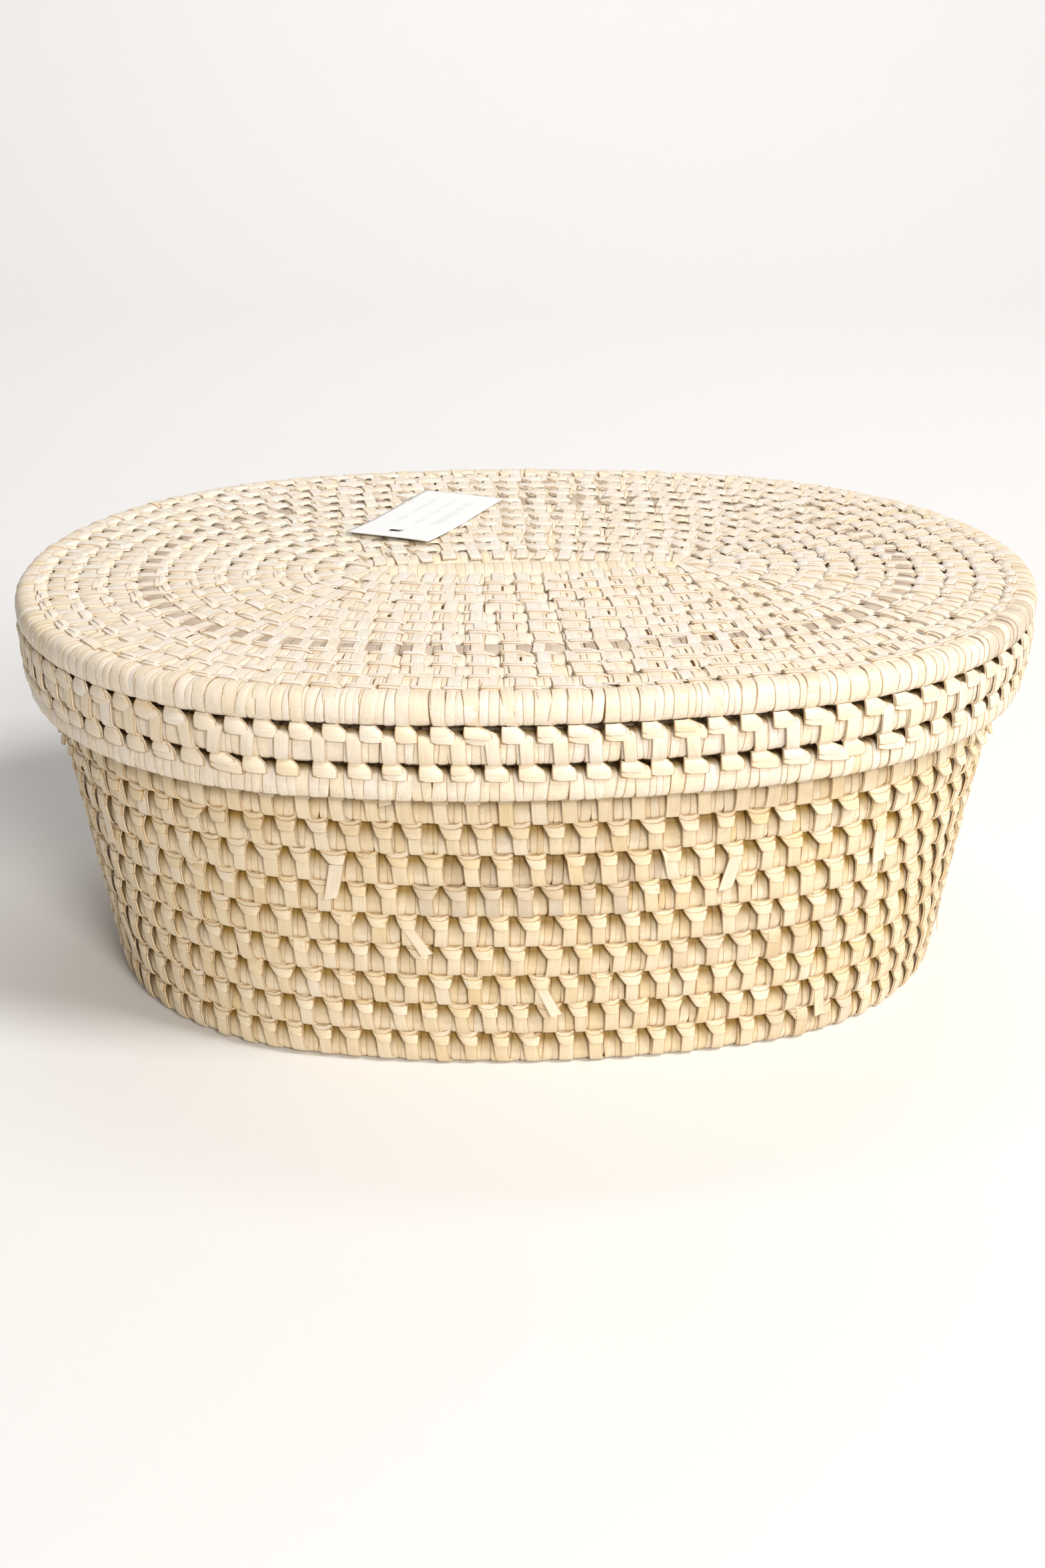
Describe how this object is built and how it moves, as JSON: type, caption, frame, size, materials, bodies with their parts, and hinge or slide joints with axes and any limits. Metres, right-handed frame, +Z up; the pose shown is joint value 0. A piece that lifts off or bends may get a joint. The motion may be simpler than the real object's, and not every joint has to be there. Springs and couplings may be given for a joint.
{
  "type": "lidded basket",
  "caption": "Oval coiled palm-leaf storage basket with a flared wall, a flat base and a flat lift-off lid whose openwork rim fits over the neck.",
  "frame": {"origin": "centre of the base's underside, on the surface the basket stands on", "axes": "+Z up, the way the lid lifts off; +X along the basket's length; +Y across it"},
  "size_m": [0.4498, 0.3318, 0.1789],
  "materials": {
    "palm_leaf": "matte",
    "paper": "matte"
  },
  "bodies": {
    "basket": {"base_centre": "palm_leaf", "base_round_01": "palm_leaf", "base_round_02": "palm_leaf", "base_round_03": "palm_leaf", "base_round_04": "palm_leaf", "base_round_05": "palm_leaf", "base_round_06": "palm_leaf", "base_round_07": "palm_leaf", "base_round_08": "palm_leaf", "base_round_09": "palm_leaf", "wall_row_01": "palm_leaf", "wall_row_02": "palm_leaf", "wall_row_03": "palm_leaf", "wall_row_04": "palm_leaf", "wall_row_05": "palm_leaf", "wall_row_06": "palm_leaf", "wall_row_07": "palm_leaf", "wall_row_08": "palm_leaf", "wall_row_09": "palm_leaf", "wall_row_10": "palm_leaf", "wall_row_11": "palm_leaf"},
    "lid": {"lid_centre": "palm_leaf", "lid_round_01": "palm_leaf", "lid_round_02": "palm_leaf", "lid_round_03": "palm_leaf", "lid_round_04": "palm_leaf", "lid_round_05": "palm_leaf", "lid_round_06": "palm_leaf", "lid_round_07": "palm_leaf", "lid_round_08": "palm_leaf", "lid_round_09": "palm_leaf", "lid_round_10": "palm_leaf", "lid_round_11": "palm_leaf", "lid_round_12": "palm_leaf", "rim_knots_1": "palm_leaf", "rim_round_1": "palm_leaf", "rim_knots_2": "palm_leaf", "rim_round_2": "palm_leaf", "tag": "paper"}
  },
  "joints": [
    {"name": "lid_lift", "type": "slide", "parent": "basket", "child": "lid", "axis": [0, 0, 1], "range_m": [0, 0.12]}
  ]
}
